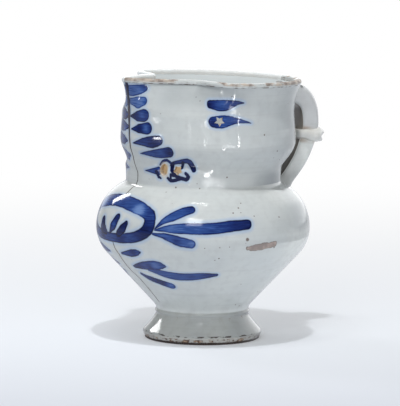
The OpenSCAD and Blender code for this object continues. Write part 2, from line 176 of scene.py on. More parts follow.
class Paint:  # a socket that takes part in sums
    def __init__(self, tree, socket=None):
        self.tree, self.socket = tree, socket

    def add(self, kind, settings=None, links=None, out=0):
        node = self.tree.nodes.new(kind)
        for key, value in (settings or {}).items():
            if key == "stops":
                while len(node.color_ramp.elements) < len(value):
                    node.color_ramp.elements.new(0.5)
                for element, (place, colour) in zip(node.color_ramp.elements, value):
                    element.position, element.color = place, colour
            else:
                setattr(node, key, value)
        for key, value in (links or {}).items():
            if isinstance(value, Paint):
                self.tree.links.new(value.socket, node.inputs[key])
            else:
                node.inputs[key].default_value = value
        return Paint(self.tree, node.outputs[out])

    def math(self, operation, *values):
        return self.add("ShaderNodeMath", {"operation": operation}, dict(enumerate(values)))

    def vector(self, operation, *values, out=0):
        return self.add("ShaderNodeVectorMath", {"operation": operation}, dict(enumerate(values)), out)

    def __add__(self, other): return self.math("ADD", self, other)
    def __radd__(self, other): return self.math("ADD", other, self)
    def __sub__(self, other): return self.math("SUBTRACT", self, other)
    def __rsub__(self, other): return self.math("SUBTRACT", other, self)
    def __mul__(self, other): return self.math("MULTIPLY", self, other)
    def __rmul__(self, other): return self.math("MULTIPLY", other, self)
    def __abs__(self): return self.math("ABSOLUTE", self)

    def least(self, other): return self.math("MINIMUM", self, other)
    def most(self, other): return self.math("MAXIMUM", self, other)

    def ease(self, low, high):  # 0 at low, 1 at high, smooth between; low may be the larger
        flip = low > high
        settings = {"interpolation_type": "SMOOTHSTEP", "clamp": False}
        ends = {0: self, 1: min(low, high), 2: max(low, high), 3: float(flip), 4: float(not flip)}
        return self.add("ShaderNodeMapRange", settings, ends)

    def blend(self, first, second):  # this value picks between two colours
        return self.add("ShaderNodeMix", {"data_type": "RGBA"}, {0: self, 6: first, 7: second}, out=2)

    def noise(self, place, scale, detail=2.0, rough=0.5):
        ends = {"Vector": place, "Scale": scale, "Detail": detail, "Roughness": rough}
        return self.add("ShaderNodeTexNoise", {}, ends)

    def stretch(self, place, scale):
        return self.vector("MULTIPLY", place, scale)

    def join(self, x, y, z=0.0):
        return self.add("ShaderNodeCombineXYZ", {}, {0: x, 1: y, 2: z})


class Surface:  # one material, with the places that all the finishes read
    def __init__(self, name):
        self.material = bpy.data.materials.new(name)
        self.material.use_nodes = True
        self.tree = self.material.node_tree
        self.tree.nodes.clear()
        self.start = Paint(self.tree)
        self.place = self.start.add("ShaderNodeTexCoord", out=3)
        parts = self.tree.nodes.new("ShaderNodeSeparateXYZ")
        self.tree.links.new(self.place.socket, parts.inputs[0])
        self.x, self.y, self.z = (Paint(self.tree, parts.outputs[i]) for i in range(3))
        # angle from the beak, alike on both sides
        self.turn = pi - abs(self.start.math("ARCTAN2", self.y, self.x))
        self.side = self.start.math("SIGN", self.y) * -1.0  # 1 on the near side, -1 on the far side

    def stored(self, name):  # a value kept on the mesh
        return self.start.add("ShaderNodeAttribute", {"attribute_name": name}, out=2)

    def dots(self, scale):  # distance to the nearest of many strewn points
        ends = {"Vector": self.place, "Scale": scale}
        return self.start.add("ShaderNodeTexVoronoi", {"feature": "F1"}, ends)

    def close(self, colour, rough, height, depth):
        shader = self.tree.nodes.new("ShaderNodeBsdfPrincipled")
        output = self.tree.nodes.new("ShaderNodeOutputMaterial")
        shader.inputs["IOR"].default_value = 1.5
        self.tree.links.new(colour.socket, shader.inputs["Base Color"])
        self.tree.links.new(rough.socket, shader.inputs["Roughness"])
        ends = {"Strength": 1.0, "Distance": depth, "Height": height}
        bump = self.start.add("ShaderNodeBump", {}, ends)
        self.tree.links.new(bump.socket, shader.inputs["Normal"])
        self.tree.links.new(shader.outputs[0], output.inputs["Surface"])
        return self.material


# where a brush stroke lies: angle from the beak and climb along the wall, both in radians,
# so that a round blob stays round anywhere on the wall
def bodyRadius(z):
    if z > bellyZ:
        return max(neck["collar"], upperMid + sqrt(max(0, body["upperArc"] ** 2 - (z - bellyZ) ** 2)))
    if z > coneZ:
        return lowerMid + sqrt(max(0, body["lowerArc"] ** 2 - (z - bellyZ) ** 2))
    return max(body["waist"], coneR - (coneZ - z) * tan(radians(body["cone"])))


climbTable = [0.0]
climbStep = 0.25
while foot["height"] + climbStep * len(climbTable) < cupZ:
    z0 = foot["height"] + climbStep * (len(climbTable) - 1)
    r0, r1 = bodyRadius(z0), bodyRadius(z0 + climbStep)
    climbTable.append(climbTable[-1] + hypot(r1 - r0, climbStep) / ((r0 + r1) / 2))


def bodyClimb(z):
    place = max(0, min(len(climbTable) - 1.001, (z - foot["height"]) / climbStep))
    i = int(place)
    return climbTable[i] + (climbTable[i + 1] - climbTable[i]) * (place - i)


neckScale = 54.0  # a middling radius of the neck


def neckClimb(z):
    return (z - cupZ) / neckScale


def storeValue(piece, name, values, domain="POINT"):
    layer = piece.data.attributes.new(name, "FLOAT", domain)
    layer.data.foreach_set("value", values)


def storeClimb(piece, climbOf):
    storeValue(piece, "climb", [climbOf(v.co / mm) for v in piece.data.vertices])


# the blue brushwork: each path has the angle from the beak, height and half width of points along the stroke,
# in degrees and mm; "tone" is how dark it is, and each pool darkens or thins the colour round a place
bodyStrokes = {
    "wreath": {"tone": 0.55, "path": [(0, 92.8, 4.6), (6, 92.6, 4.7), (12, 91.7, 4.8), (21, 89.7, 4.6),
               (27.7, 86.3, 4.2), (29, 82, 4.3), (28.1, 77.2, 4.3), (23.8, 73.3, 3.8), (17.4, 70.9, 3.5),
               (9, 69.7, 3.3), (0, 69.3, 3.0)],
               "pools": [(27, 75, 17, 0.4), (20, 88, 9, -0.6), (27, 84, 6, -0.1), (8, 70, 9, 0.2)]},
    "fanUpper": {"tone": 0.52, "path": [(32.7, 78, 0.5), (37, 82.8, 1.8), (41.8, 85.8, 3.0),
                 (48.2, 89.3, 3.2), (52.1, 90.5, 2.8)], "pools": [(52, 91, 7, 0.25), (38, 83, 7, -0.15)]},
    "fanMiddle": {"tone": 0.45, "path": [(32.7, 77.3, 0.5), (38.3, 78.3, 2.0), (44.1, 78.8, 3.1),
                  (51.6, 79.1, 3.6), (59, 79, 3.7), (66.4, 79.6, 3.7), (74, 80.7, 3.7), (83.1, 81.4, 3.3)],
                  "pools": [(84, 81.4, 36, 0.4), (42, 78.6, 9, -0.15)]},
    "fanLower": {"tone": 0.46, "path": [(31.5, 74.8, 0.8), (37.7, 74, 1.8), (42.7, 72.3, 2.9),
                 (47.5, 70.5, 3.3), (52.8, 69.5, 3.0)], "pools": [(45, 71.5, 5, 0.2), (54, 69, 5, -0.15)]},
    "sprayTop": {"tone": 0.58, "path": [(6.9, 59.5, 0.9), (14.2, 60.2, 2.8), (19.4, 61.5, 2.5),
                 (22.7, 62.2, 0.4)], "pools": [(17, 61, 5, 0.2)]},
    "sprayLeaf": {"tone": 0.66, "path": [(10.3, 50.8, 1.4), (17.9, 52, 3.4), (26.5, 53.1, 4.6),
                  (31.7, 53.7, 3.8), (36.2, 53.2, 0.4)],
                  "pools": [(13, 51, 9, 0.2), (29, 53, 6, -0.35), (24, 51.6, 4, 0.2)]},
    "sprayLong": {"tone": 0.52, "path": [(21.8, 49.5, 1.0), (29, 48.4, 3.0), (36.4, 46.8, 3.7),
                  (43.4, 46.2, 3.7), (51.5, 46.4, 3.5), (59.3, 47.3, 3.0), (67.9, 48, 1.5)],
                  "pools": [(66, 48, 12, 0.25), (48, 46, 10, 0.1)]},
    "sprayLow": {"tone": 0.75, "path": [(12, 45.7, 1.6), (17.4, 43.2, 2.5), (25.2, 41.3, 3.0),
                 (34, 39, 2.8)], "pools": [(24, 42, 7, 0.2), (34, 39.2, 5, -0.45)]},
}
sprigStrokes = {  # only in the wreath's front, leaning to the near side
    "leafFar": {"tone": 0.95, "path": [(-4.8, 72.2, 2.0), (-9, 75, 4.2), (-9.4, 79, 3.0)]},
    "leafMiddle": {"tone": 0.8, "path": [(-0.4, 72.2, 0.9), (2.6, 77.2, 3.5), (5.2, 82.6, 2.6)],
                   "pools": [(3, 78, 4, -0.3)]},
    "leafNear": {"tone": 0.95, "path": [(8, 73, 2.6), (11, 76, 3.3), (13.4, 79.6, 2.0)]},
}
neckStrokes = {
    "petal1": {"tone": 0.28, "path": [(1, 163, 3.4), (4.5, 163, 3.6), (9.4, 164, 3.2), (12, 164.8, 2.5)],
               "pools": [(13, 165, 4, 0.25)]},
    "petal2": {"tone": 0.22, "path": [(2.6, 156, 2.4), (7.8, 155.5, 3.9), (11.8, 156.5, 3.0)],
               "pools": [(13.5, 156, 3, 0.25)]},
    "petal3": {"tone": 0.66, "path": [(0.8, 146.4, 0.8), (8.4, 146.9, 3.5), (13.5, 147.6, 4.2)],
               "pools": [(4, 146.5, 6, 0.25), (12, 148, 4, -0.3)]},
    "petal4": {"tone": 0.68, "path": [(2.2, 138.2, 0.5), (9.9, 139.1, 3.0), (17, 139.6, 4.0)],
               "pools": [(9, 139, 6, 0.15), (16, 139.5, 4.5, -0.45)]},
    "petal5": {"tone": 0.66, "path": [(4.3, 129.4, 0.3), (14, 130.8, 2.7), (21.6, 131.2, 4.0),
               (26.4, 132.3, 3.4)], "pools": [(24, 132, 9, 0.2)]},
    "petal6": {"tone": 0.5, "path": [(9.9, 123.1, 0.3), (18.7, 123.6, 2.0), (27.2, 124.1, 3.2),
               (34.2, 125.3, 3.5)], "pools": [(35, 125.4, 7, 0.4)]},
    "petal7": {"tone": 0.5, "path": [(11.4, 112.1, 0.2), (24.3, 112.7, 2.8)], "pools": [(23, 112, 4, 0.2)]},
    "tail": {"tone": 0.9, "path": [(22.9, 112.1, 1.2), (24.3, 108.8, 1.0), (26.2, 107.9, 0.6)]},
    "arch": {"tone": 0.65, "path": [(25.6, 116.6, 0.8), (28, 119, 0.9), (31.6, 119.9, 1.0),
             (34.3, 118.2, 1.0)]},
    "scrollTop": {"tone": 0.7, "path": [(34.6, 116.9, 0.9), (36.5, 118.2, 1.2), (41.7, 119.2, 1.5),
                  (47.4, 120, 1.8), (50, 117.7, 2.0), (51.9, 114.3, 1.6)], "pools": [(51, 115.5, 6, 0.25)]},
    "scrollSide": {"tone": 1.05, "path": [(35.8, 117.6, 1.3), (35.6, 113.8, 1.3), (38, 110.4, 1.3),
                   (42.4, 108.9, 1.2)]},
    "scrollCurl": {"tone": 1.05, "path": [(36.8, 110.2, 1.0), (34.6, 110.8, 1.0), (34.4, 108.4, 1.0)]},
    "scrollFoot": {"tone": 1.05, "path": [(32, 108.4, 1.0), (34.2, 107, 1.2), (38.6, 107.5, 1.2),
                   (42.8, 108.8, 1.3), (46.2, 108, 1.3), (48, 109.9, 1.4), (46.1, 112, 1.1)]},
    "scrollStem": {"tone": 1.05, "path": [(43.9, 118.6, 1.1), (42.9, 115.4, 1.0)]},
    "dropUpper": {"tone": 0.62, "path": [(63.5, 156.4, 2.6), (68.3, 155.9, 3.5), (71.9, 155.9, 3.6),
                  (76, 156.9, 2.7), (79.9, 157.7, 1.4), (83.9, 157.6, 0.5)],
                  "pools": [(62, 156, 6, 0.35), (72, 157, 5, -0.15)]},
    "dropLower": {"tone": 0.5, "path": [(65.5, 145.5, 3.6), (69.9, 145.6, 4.2), (74.2, 146.3, 3.4),
                  (78.6, 146.5, 2.3), (82.6, 146, 1.4), (89.6, 144.6, 0.3)],
                  "pools": [(65, 144.5, 7, 0.35)]},
}
stemStrokes = {  # the dark line of paint down the beak, and the petals that show past it
    "stem": {"tone": 1.2, "path": [(1.2, 167, 1.5), (-1.2, 159.7, 1.9), (-2, 152, 2.1), (-1.6, 145, 1.5),
             (-0.5, 137, 0.8), (0.6, 131, 0.3)]},
    "farUpper": {"tone": 0.7, "path": [(-3, 147.4, 1.0), (-9, 147, 3.2), (-15, 147.4, 4.0)]},
    "farMiddle": {"tone": 0.7, "path": [(-1.5, 139.4, 0.8), (-7, 139.2, 2.8), (-16, 139.6, 4.0)],
                  "pools": [(-8, 137, 4, -0.4)]},
    "farLower": {"tone": 0.7, "path": [(-2.5, 130.4, 0.8), (-8, 130.6, 3.0), (-18, 131.2, 4.0)]},
    "farLast": {"tone": 0.6, "path": [(-4, 121, 1.0), (-9, 120.6, 3.4), (-20, 122, 3.8)]},
}
paintRamp = [(0.0, rgb(102, 130, 180)), (0.35, rgb(48, 78, 140)),
             (0.7, rgb(22, 42, 102)), (1.0, rgb(9, 17, 58))]

# the old crack down the front: angle towards the near side, height and half width
neckCrack = [[(-2.6, 151.9, 0.5), (-2, 144.9, 0.7), (-0.5, 137.3, 0.7), (1, 131, 0.6), (1, 125.9, 0.5),
              (0, 119.2, 0.4), (0.6, 114, 0.35), (2.3, 109.7, 0.35), (2.1, 105.2, 0.35), (0.4, 102.8, 0.3)]]
bodyCrack = [[(2.1, 105, 0.3), (0.4, 102.8, 0.3), (-0.4, 100.5, 0.3), (0.9, 98, 0.3), (1.2, 95, 0.2)],
             [(1.7, 66.9, 0.3), (2, 62.3, 0.35), (3, 58.5, 0.35), (2.3, 55.4, 0.35), (1.1, 50.3, 0.35),
              (1.4, 46.7, 0.35), (4.7, 41.9, 0.35), (5.3, 33.8, 0.35), (4.4, 25.5, 0.3)]]
bareRing = [(29.2, 111.6, 3.3), (29.2, 115.4, 3.2)]  # thin glaze round the oval piercing
bodyScar = [(83.7, 66.1, 1.3), (88.5, 66.1, 2.1), (94.1, 66.7, 2.1), (100.7, 68.1, 1.8)]
# a chip and then specks on the near side: angle, height and radius
bodySpots = [(83, 72, 1.2), (79.5, 91.4, 0.55), (75.9, 88.6, 0.5), (88.2, 86.3, 0.45), (105, 84.4, 0.5),
             (68, 67.2, 0.35), (73, 67.4, 0.35), (60, 66.8, 0.35)]


def farFrom(point, path, climbOf, radiusOf):  # distance to a path of changing width, below 0 inside it
    spots = [(radians(a), climbOf(z), h / radiusOf(z)) for a, z, h in path]
    nearest = None
    for (u0, w0, h0), (u1, w1, h1) in zip(spots, spots[1:]):
        du, dw = u1 - u0, w1 - w0
        span = du * du + dw * dw
        offset = point.vector("SUBTRACT", point, (u0, w0, 0))
        along = point.vector("DOT_PRODUCT", offset, (du / span, dw / span, 0), out=1)
        along = point.add("ShaderNodeClamp", {}, {0: along})
        reach = point.add("ShaderNodeVectorMath", {"operation": "SCALE"}, {0: (-du, -dw, 0), 3: along})
        away = point.vector("LENGTH", point.vector("ADD", offset, reach), out=1)
        away = away + along.math("MULTIPLY_ADD", along, h0 - h1, -h0)
        nearest = away if nearest is None else nearest.least(away)
    return nearest


def rounded(path):  # a smoother path, with a point between each two
    ends = [path[0]] + path + [path[-1]]
    points = []
    for before, first, second, after in zip(ends, ends[1:], ends[2:], ends[3:]):
        middle = [(9 * (b + c) - a - d) / 16 for a, b, c, d in zip(before, first, second, after)]
        points += [first, tuple(middle)]
    return points + [path[-1]]


def brush(point, strokes, climbOf, radiusOf, layer=(None, None)):
    shade, nearest = layer
    for stroke in strokes.values():
        path = rounded(stroke["path"]) if len(stroke["path"]) > 3 else stroke["path"]
        edge = farFrom(point, path, climbOf, radiusOf)
        outline = edge.ease(-0.02, -0.002)  # darker along its edge
        depth = edge.math("MULTIPLY_ADD", outline, 0.42, stroke["tone"] - 0.05)
        for a, z, reach, gain in stroke.get("pools", []):
            gap = point.vector("DISTANCE", point, (radians(a), climbOf(z), 0), out=1)
            depth = depth.math("MULTIPLY_ADD", gap.ease(reach / radiusOf(z), 0.0), gain, depth)
        shade = depth if shade is None else shade + edge.ease(0.004, -0.004) * (depth - shade)
        nearest = edge if nearest is None else nearest.least(edge)
    return shade, nearest


def glazeBase(s, pale, cool, dull, pits=1.0):  # milky glaze with clouds, turning lines and pinholes
    cloud = s.start.noise(s.place, 24.0, 3.0)
    mottle = s.start.noise(s.place, 210.0, 3.0)
    lines = s.start.noise(s.start.stretch(s.place, (14.0, 14.0, 480.0)), 1.0, 3.0)
    colour = cloud.ease(0.34, 0.66).blend(pale, cool)
    colour = (mottle.ease(0.42, 0.78) * 0.45).blend(colour, dull)
    colour = (lines.ease(0.5, 0.78) * 0.35).blend(colour, dull)
    cells = s.dots(120.0)
    chance = s.start.noise(s.place, 55.0, 2.0)
    pin = cells.ease(0.06, 0.03) * chance.ease(0.58, 0.68) * pits
    colour = pin.blend(colour, rgb(104, 92, 86))
    rough = mottle.math("MULTIPLY_ADD", mottle, 0.1, 0.05)
    waves = s.start.noise(s.start.stretch(s.place, (1.0, 1.0, 2.2)), 45.0, 1.0)
    height = waves * 2.2 + lines * 0.35 + mottle * 0.12 - pin * 0.8
    return colour, rough, height, {"cloud": cloud, "mottle": mottle, "chance": chance}


bodyTint = (rgb(199, 203, 201), rgb(191, 196, 196), rgb(180, 183, 183))
fleckTint = rgb(112, 100, 96)


def paintedGlaze(name, strokes, climbOf, radiusOf, crack, front, scar=None, spots=(), bare=False):
    s = Surface(name)
    colour, rough, height, grain = glazeBase(s, *bodyTint)
    climb = s.stored("climb")
    specks = s.dots(115.0)
    strewn = s.start.noise(s.place, 21.0, 1.0)
    colour = (specks.ease(0.085, 0.045) * strewn.ease(0.4, 0.5) * 0.9).blend(colour, fleckTint)
    # painted shade: greyer on the belly towards the handle, and on the neck under the lip's flare, under the
    # handle and on its side towards the handle
    paintedShade = s.z.ease(0.094, 0.088) * s.z.ease(0.072, 0.079) * s.turn.ease(1.7, 2.2) * 0.8
    if bare:
        shadeUnderLip = s.z.ease(0.146, 0.16) * s.turn.ease(1.65, 1.2) * s.turn.ease(0.2, 0.6) * 0.58
        shadeUnderHandle = s.z.ease(0.117, 0.107) * s.turn.ease(1.5, 2.15)
        paintedShade = shadeUnderLip.most(shadeUnderHandle).most(s.turn.ease(1.75, 2.3) * 0.56)
    colour = paintedShade.blend(colour, rgb(150, 156, 159))
    # inside, bare clay low down and white glaze above
    inside = s.z.ease(0.112, 0.124).blend(rgb(246, 222, 184), rgb(210, 217, 219))
    colour = climb.ease(-3.0, -5.0).blend(colour, inside)
    shift = (s.start.noise(s.place, 200.0, 2.0) - 0.5) * 0.02
    point = s.start.join(s.turn + shift, climb + shift * 0.6)
    hairs = s.start.noise(s.start.join(s.turn * 7.0, climb * 75.0, s.side), 1.0, 3.0, 0.6)
    signed = s.start.join(s.turn * s.side + shift, climb + shift * 0.6)
    shade, nearest = brush(point, strokes, climbOf, radiusOf)
    shade, nearest = brush(signed, front, climbOf, radiusOf, (shade, nearest))
    shade = shade + (hairs - 0.5) * 0.9 + (grain["cloud"] - 0.5) * 0.5
    blue = s.start.add("ShaderNodeValToRGB", {"stops": paintRamp}, {0: shade})
    colour = (nearest.ease(0.045, 0.0) * 0.68).blend(colour, rgb(154, 177, 207))  # colour bled into the glaze
    colour = nearest.ease(0.005, -0.005).blend(colour, blue)
    split = farFrom(signed, crack[0], climbOf, radiusOf)
    for path in crack[1:]:
        split = split.least(farFrom(signed, path, climbOf, radiusOf))
    stain = split.ease(0.03, 0.0) * grain["chance"].ease(0.4, 0.65) * 0.4
    colour = stain.blend(colour, rgb(150, 134, 116))
    colour = split.ease(0.005, -0.003).blend(colour, rgb(58, 49, 46))
    for a, z, size in spots:
        gap = point.vector("DISTANCE", signed, (radians(a), climbOf(z), 0), out=1)
        colour = gap.ease(size / radiusOf(z) * 1.3, size / radiusOf(z) * 0.6).blend(colour, fleckTint)
    if scar:
        worn = farFrom(signed, scar, climbOf, radiusOf) + (grain["mottle"] - 0.5) * 0.05
        worn = worn + (grain["chance"] - 0.5) * 0.02
        ground = grain["mottle"].ease(0.35, 0.65).blend(rgb(140, 130, 126), rgb(172, 156, 148))
        colour = worn.ease(0.006, 0.0).blend(colour, rgb(116, 107, 104))
        colour = worn.ease(0.0, -0.006).blend(colour, ground)
        rough = rough.most(worn.ease(0.004, -0.004) * 0.75)
    if bare:  # the cut sides of the piercings, thinly glazed clay
        opened = s.stored("bare")
        clay = grain["mottle"].ease(0.35, 0.65).blend(rgb(214, 184, 146), rgb(192, 176, 154))
        ring = farFrom(point, bareRing, climbOf, radiusOf)
        colour = (ring.ease(0.012, -0.012) * 0.6).blend(colour, rgb(202, 192, 176))
        colour = opened.blend(colour, clay)
    return s.close(colour, rough, height, 0.00022)


def lipFinish():  # glaze worn to the clay along the edge
    s = Surface("lipGlaze")
    colour, rough, height, grain = glazeBase(s, *bodyTint)
    # painted light: the far side of the band is made lighter
    colour = (s.side.ease(0.5, -0.5) * 0.8).blend(colour, rgb(236, 240, 240))
    up = s.z * toMm + s.x * (toMm / 2 * neck["rise"] / neck["mouth"]) - neckTopZ
    # how worn it is from the beak, 0, round to the handle, 1
    wear = [(0.0, 0.9), (0.16, 0.85), (0.22, 0.4), (0.37, 0.45), (0.42, 0.75), (0.48, 0.7), (0.53, 0.5),
            (0.6, 0.8), (0.82, 0.8), (0.9, 0.5)]
    stops = [(place, (v, v, v, 1)) for place, v in wear]
    window = s.start.add("ShaderNodeValToRGB", {"stops": stops}, {0: s.turn * (1 / pi)})
    patches = s.start.noise(s.start.join(s.turn * 9.0, up * 0.5, s.side * 3.0), 1.0, 3.0, 0.6)
    near = s.side.ease(-0.5, 0.5) * 0.85 + 0.15
    worn = (window + (patches - 0.5) * 1.8).ease(0.48, 0.76) * up.ease(0.5, 1.7) * near * 0.88
    buff = grain["mottle"].ease(0.4, 0.62).blend(rgb(182, 168, 154), rgb(120, 103, 93))
    colour = worn.blend(colour, buff)
    crease = up.ease(0.8, 0.35) * patches.ease(0.42, 0.58) * near * 0.95  # painted shade in brown patches under the band
    colour = crease.blend(colour, rgb(96, 84, 78))
    return s.close(colour, rough.most(worn * 0.6), height, 0.0002)


def footFinish():  # thin grey glaze with a dark bare edge and brown chips
    s = Surface("footGlaze")
    tint = (rgb(178, 181, 178), rgb(170, 174, 174), rgb(160, 160, 156))
    colour, rough, height, grain = glazeBase(s, *tint, 1.4)
    up = s.z * toMm
    around = s.turn * s.side * 7.0
    patches = s.start.noise(s.start.join(around, up * 0.28), 1.0, 3.0, 0.65)
    fine = s.start.noise(s.start.join(around * 2.6, up * 0.9), 1.0, 2.0)
    stain = up.ease(17.5, 15.5) * up.ease(13.0, 15.0) * patches.ease(0.6, 0.74)  # brown under the waist
    colour = stain.blend(colour, rgb(142, 132, 120))
    long = s.start.noise(s.start.join(around * 0.8, up * 0.4), 1.0, 2.0)
    colour = (up.ease(4.9, 4.1) * 0.6).blend(colour, rgb(198, 195, 188))  # paler below the line of dashes
    chips = (patches + (fine - 0.5) * 0.5).ease(0.49, 0.57) * up.ease(4.4, 3.0)
    colour = chips.blend(colour, fine.ease(0.42, 0.6).blend(rgb(184, 156, 130), rgb(100, 82, 72)))
    dashes = abs(up - 5.2).ease(0.7, 0.3) * (long + (patches - 0.5) * 0.5).ease(0.5, 0.57)
    colour = dashes.blend(colour, rgb(86, 80, 76))
    edge = (up + (fine - 0.5) * 1.6).ease(2.1, 1.3)
    colour = edge.blend(colour, rgb(60, 50, 46))
    # painted shade: darker grey towards the handle
    colour = (s.turn.ease(1.6, 2.3) * 0.35).blend(colour, rgb(128, 130, 130))
    rough = rough.most(chips.most(edge) * 0.7)
    return s.close(colour, rough, height - chips * 1.5, 0.00025)


def handleFinish(name, tint, joint, way, bright):  # browner where the strap's edges lie
    s = Surface(name)
    colour, rough, height, grain = glazeBase(s, *tint)
    along = (s.x * toMm - joint.x) * way.x + (s.z * toMm - joint.y) * way.y
    outward = (s.x * toMm - joint.x) * way.y - (s.z * toMm - joint.y) * way.x
    edge = abs(along - outward * 0.2).ease(6.6, 4.4) * grain["chance"].ease(0.3, 0.6)
    colour = (edge * 0.75).blend(colour, rgb(168, 148, 130))
    # painted shade: darker low down, where the limb meets the shoulder
    colour = (s.z.ease(0.11, 0.102) * 0.7).blend(colour, rgb(172, 174, 172))
    inner = s.stored("inner")
    edgeHighlight = inner.ease(0.0, 0.25) * inner.ease(0.75, 0.35)
    colour = (edgeHighlight * bright).blend(colour, rgb(252, 252, 248))  # painted highlight along the inner edge
    # painted shade: the side that faces the neck is darkened
    dull = grain["cloud"].ease(0.35, 0.65).blend(rgb(134, 128, 120), rgb(104, 98, 92))
    colour = inner.ease(0.4, 0.9).blend(colour, dull)
    return s.close(colour, rough, height, 0.00022)


def strapFinish(tint):
    s = Surface("strapGlaze")
    colour, rough, height, grain = glazeBase(s, *tint)
    climb = s.stored("climb")
    edge = abs(climb).ease(0.6, 0.95) * grain["chance"].ease(0.3, 0.6)
    colour = (edge * 0.6).blend(colour, rgb(146, 136, 124))
    return s.close(colour, rough, height, 0.00022)


def clayFinish():
    s = Surface("bareClay")
    cloud = s.start.noise(s.place, 60.0, 3.0)
    grit = s.start.noise(s.place, 900.0, 2.0)
    colour = cloud.ease(0.35, 0.65).blend(rgb(190, 164, 134), rgb(176, 148, 118))
    colour = (grit.ease(0.55, 0.7) * 0.5).blend(colour, rgb(140, 116, 92))
    return s.close(colour, grit.math("MULTIPLY_ADD", grit, 0.2, 0.6), cloud + grit * 0.4, 0.0003)


def footOutline():
    base = foot["radius"] - foot["undercut"]
    spigot = body["waist"] * foot["spigot"]
    rise = foot["height"] - foot["land"] - foot["band"]
    edge = foot["band"] * foot["widest"]
    points = [(base - foot["wall"], 0.4), (base - foot["wall"] + 0.4, 0), (base - 0.8, 0), (base, 0.5)]
    points += [(base + foot["undercut"] * (i / 4), 0.5 + (edge - 0.5) * i / 4) for i in range(1, 4)]
    points += [(foot["radius"] - 0.15, edge - 0.5), (foot["radius"], edge),
               (foot["radius"], foot["band"] - 0.4), (foot["radius"] - 0.25, foot["band"])]
    for i in range(1, 25):
        r = body["waist"] + (foot["radius"] - body["waist"]) * (1 - i / 24) ** foot["flarePower"]
        points.append((min(r, foot["radius"] - 0.3), foot["band"] + rise * i / 24))
    top = (spigot, foot["height"] - foot["recess"])
    points += [(body["waist"], foot["height"] - 0.9), (body["waist"], foot["height"])]
    return points + [(spigot, foot["height"]), top] + line(top, (base - foot["wall"], 0), 8)


footRing = turnPiece("footRing", footOutline(), foot["steps"])
smooth(footRing, 40)

coil = {"height": 3.0, "bulge": 0.6, "points": 16}  # a coil wiped soft over the joint


def coilPoint(t):  # from -1 at its lower edge to 1 at its upper edge
    return body["waist"] + coil["bulge"] * (1 + cos(pi * t)) / 2, foot["height"] + coil["height"] / 2 * t


coilOutline = [coilPoint(2 * i / coil["points"] - 1) for i in range(coil["points"] + 1)]
footCoil = turnPiece("footCoil", coilOutline, foot["steps"])
smooth(footCoil, 60)


# lower body and shoulder, one wall with the seam just below the widest line
def lowerOutline():
    inner = body["lowerArc"] - body["wall"]
    spigot = body["waist"] * foot["spigot"] - body["slip"]
    seamR = lowerPoint(seamAngle, 0)[0]
    tongueTop = asin((body["seamDrop"] - body["lap"]) / inner)
    innerCone = lowerPoint(radians(body["cone"]), body["wall"])
    floorR = innerCone[0] - (innerCone[1] - floorZ) * tan(radians(body["cone"]))
    low, corner = (body["waist"], waistZ - body["softBelow"]), (body["waist"], waistZ)
    high = (body["waist"] + body["softOut"], waistZ + body["softOut"] / tan(radians(body["cone"])))
    spigotZ = foot["height"] - foot["recess"]
    points = [(0, spigotZ), (spigot, spigotZ), (spigot, foot["height"]), (body["waist"], foot["height"])]
    points += softTurn(low, corner, high, 8) + line(high, (coneR, coneZ), 36)
    points += arc(lowerPoint, radians(body["cone"]), seamAngle, 0, 30)
    points += [(seamR - body["tongue"], seamZ), (seamR - body["tongue"], seamZ + body["lap"])]
    points += arc(lowerPoint, tongueTop, radians(body["cone"]), body["wall"], 14)
    points += line(innerCone, (floorR, floorZ), 12)
    return points + [(floorR * share, floorZ) for share in (1, 0.6, 0.25, 0)]


def shoulderOutline():
    opening = neck["collar"] - neck["seat"]
    innerTop = acos((opening - upperMid) / (body["upperArc"] - body["wall"]))
    ledge = asin((body["seamDrop"] - body["lap"] - body["slip"]) / (body["lowerArc"] - body["wall"]))
    tongue = lowerPoint(seamAngle, 0)[0] - body["tongue"] + body["slip"]
    points = arc(lowerPoint, seamAngle, 0, 0, 8) + arc(upperPoint, 0, topAngle, 0, 60)[1:]
    points += [(opening, jointZ)] + arc(upperPoint, innerTop, 0, body["wall"], 24)
    points += arc(lowerPoint, 0, ledge, body["wall"], 3)[1:]
    return points + [(tongue, seamZ + body["lap"] + body["slip"]), (tongue, seamZ)]


def bodyClimbOf(co):
    return bodyClimb(co.z) if hypot(co.x, co.y) > bodyRadius(co.z) - 0.4 else insideClimb


lowerBody = turnPiece("lowerBody", lowerOutline(), body["steps"])
storeClimb(lowerBody, bodyClimbOf)
smooth(lowerBody)
upperBody = turnPiece("upperBody", shoulderOutline(), body["steps"])
storeClimb(upperBody, bodyClimbOf)
smooth(upperBody)


def filletOutline():
    low = topAngle - neck["fillet"] / body["upperArc"]
    r, z = upperPoint(low, 0)
    corner = (neck["collar"], z + (r - neck["collar"]) / tan(low))
    top = (neck["collar"], jointZ + neck["fillet"])
    return softTurn((r, z), corner, top, 16) + arc(upperPoint, topAngle, low, neck["filletSunk"], 6)


neckFillet = turnPiece("neckFillet", filletOutline(), body["steps"])
storeClimb(neckFillet, lambda co: bodyClimb(co.z))
smooth(neckFillet, 60)


# neck: turned as a round cup, then pinched into a beak
def cupRadius(z):
    bulgeZ, throatZ = cupZ + neck["bulgeUp"], cupZ + neck["throatUp"]
    if z <= bulgeZ:
        up = (z - cupZ + hypot(z - cupZ, neck["crease"])) / 2  # a soft turn over the collar
        return neck["collar"] + (neck["bulge"] - neck["collar"]) * sin(pi / 2 * min(1, up / neck["bulgeUp"]))
    if z <= throatZ:
        fall = (1 - cos(pi * (z - bulgeZ) / (throatZ - bulgeZ))) / 2
        return neck["bulge"] - (neck["bulge"] - neck["throat"]) * fall
    return neck["throat"] + (neck["mouth"] - neck["throat"]) * ((z - throatZ) / (neckTopZ - throatZ)) ** 2


# shape of the beak: a share of the cup's radius, and from and to which share of its height it sets in
beak = {"lowPinch": (0.2, -0.02, 0.09), "mouthPinch": (0.8, 0.61, 1.09), "flat": (0.065, -0.02, 0.167),
        "relief": (0.015, 0.5, 1.02), "slope": 2.2, "round": 0.33}


def setsIn(name, up):
    share, low, high = beak[name]
    return share * ramp(low, high, up)


